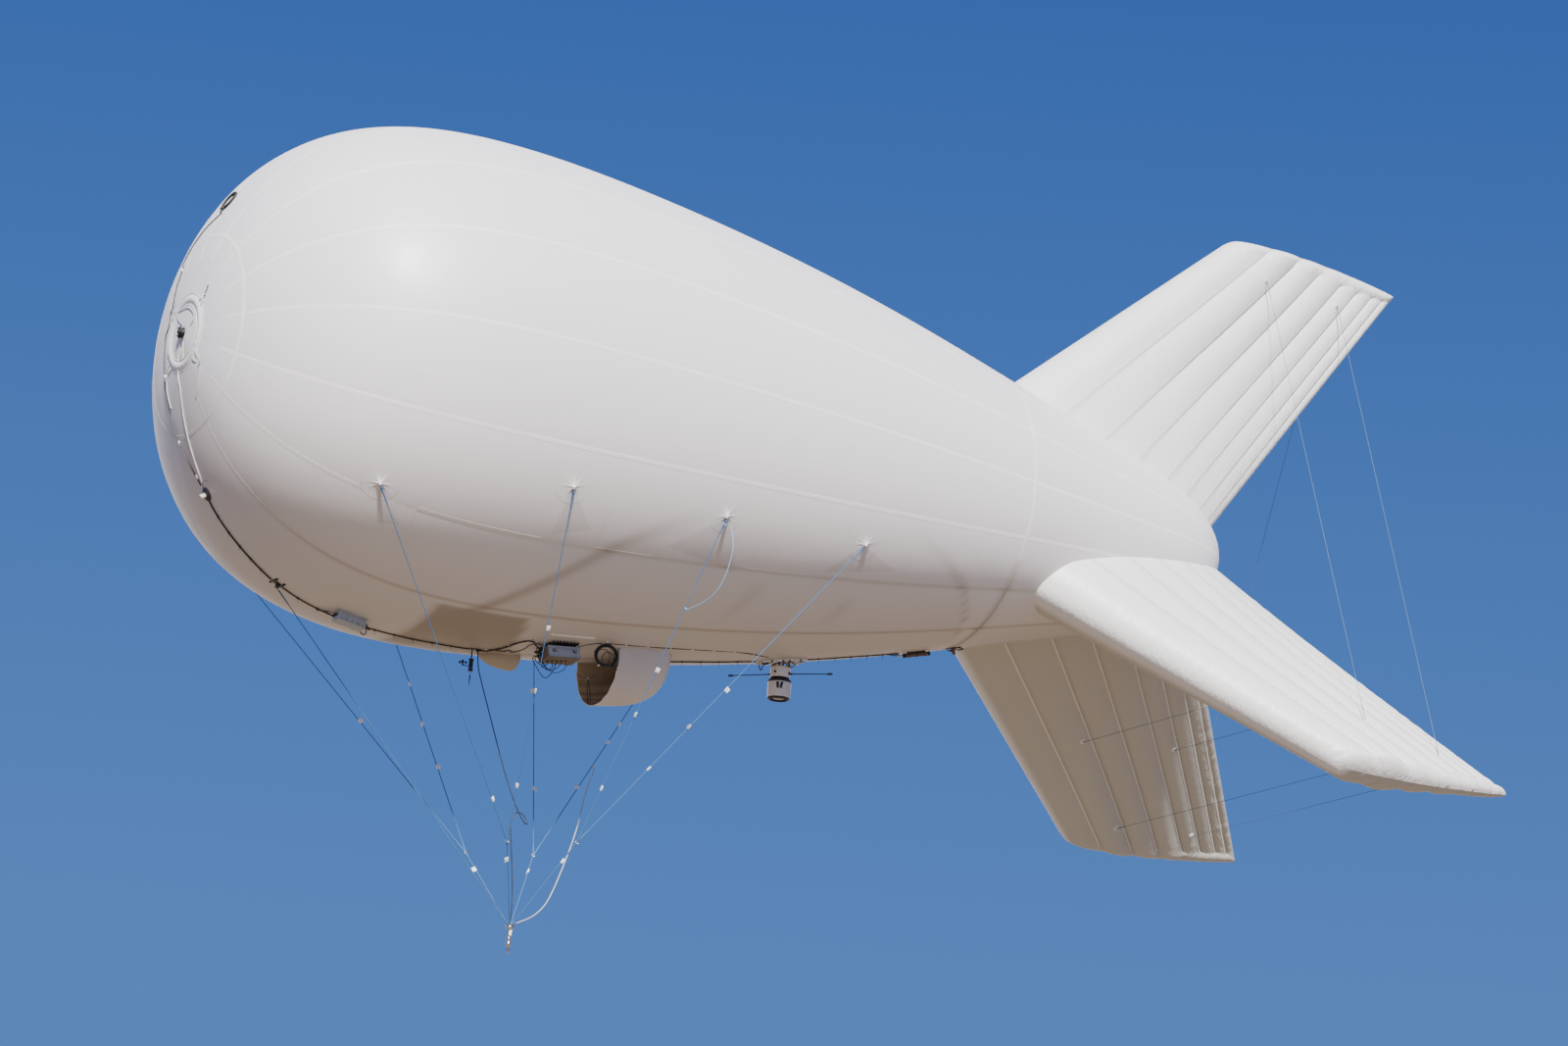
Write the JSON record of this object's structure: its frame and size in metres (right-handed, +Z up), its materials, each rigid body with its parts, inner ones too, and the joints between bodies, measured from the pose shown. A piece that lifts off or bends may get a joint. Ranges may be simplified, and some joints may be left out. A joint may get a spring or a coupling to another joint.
{
  "type": "tethered aerostat",
  "caption": "Tethered aerostat: a fat white inflated hull with lobed tail fins, belly air scoop, sensor camera, payload boxes and suspension lines gathered at a swivel.",
  "frame": {"origin": "on the hull's axis at the centre of buoyancy, where the air holds it up", "axes": "+X aft along the hull, nose at -X; +Z up; port side at -Y"},
  "size_m": [23.6829, 8.6316, 15.145],
  "materials": {
    "envelope_fabric": "smooth coated white fabric, slight sheen",
    "white_webbing": "woven webbing and coated patches",
    "blue_rope": "braided synthetic rope",
    "guy_line": "thin braided line",
    "black_cable": "matt jacket",
    "grey_paint": "satin paint",
    "white_paint": "satin paint",
    "black_plastic": "matt",
    "steel": "brushed"
  },
  "bodies": {
    "airframe": {"aerial_rod_aft": "black_plastic", "aerial_rod_fore": "black_plastic", "aft_cylinder": "black_plastic", "air_scoop": "envelope_fabric", "cable_clamp": "black_plastic", "cable_coil": "black_cable", "camera_base": "white_paint", "camera_frame": "white_paint", "coil_hanger": "white_webbing", "confluence_fitting": "steel", "cooling_ribs": "black_plastic", "envelope": "envelope_fabric", "fin_port": "envelope_fabric", "fin_starboard": "envelope_fabric", "fin_top": "envelope_fabric", "forward_box": "grey_paint", "guy_low_1": "guy_line", "guy_low_2": "guy_line", "guy_low_3": "guy_line", "guy_low_4": "guy_line", "guy_port_high_1": "guy_line", "guy_port_high_2": "guy_line", "guy_starboard_high_1": "guy_line", "guy_starboard_high_2": "guy_line", "harness": "black_cable", "keel_cable_aft": "black_cable", "keel_cable_fore": "black_cable", "main_box": "grey_paint", "mooring_fitting": "black_plastic", "nose_cable": "black_cable", "nose_hoop": "black_plastic", "nose_lamp": "white_paint", "nose_line": "blue_rope", "nose_ring": "envelope_fabric", "nose_valve": "black_plastic", "patch_port_four": "white_webbing", "patch_port_one": "white_webbing", "patch_port_three": "white_webbing", "patch_port_two": "white_webbing", "patch_starboard_four": "white_webbing", "patch_starboard_one": "white_webbing", "patch_starboard_three": "white_webbing", "patch_starboard_two": "white_webbing", "power_cable": "black_cable", "slack_loop": "blue_rope", "slack_rope": "white_webbing", "stays_port_aft": "blue_rope", "stays_port_fore": "blue_rope", "stays_starboard_aft": "blue_rope", "stays_starboard_fore": "blue_rope", "tail_cable": "black_cable", "tail_fitting": "black_plastic", "vent_hood": "envelope_fabric", "wind_sensor_arm": "black_plastic"},
    "camera_head": {"camera_head": "white_paint"},
    "cup_rotor": {"cup_rotor": "black_plastic"},
    "tether_swivel": {"tether_swivel": "steel"}
  },
  "joints": [
    {"name": "camera_pan", "type": "hinge", "parent": "airframe", "child": "camera_head", "pos_m": [3.88, 0, -3.8], "axis": [0, 0, 1], "continuous": true},
    {"name": "cup_spin", "type": "hinge", "parent": "airframe", "child": "cup_rotor", "pos_m": [-2.07, 0, -4.43], "axis": [0, 0, 1], "continuous": true},
    {"name": "tether_turn", "type": "hinge", "parent": "airframe", "child": "tether_swivel", "pos_m": [-0.79, 0, -8.9], "axis": [0, 0, 1], "continuous": true}
  ]
}
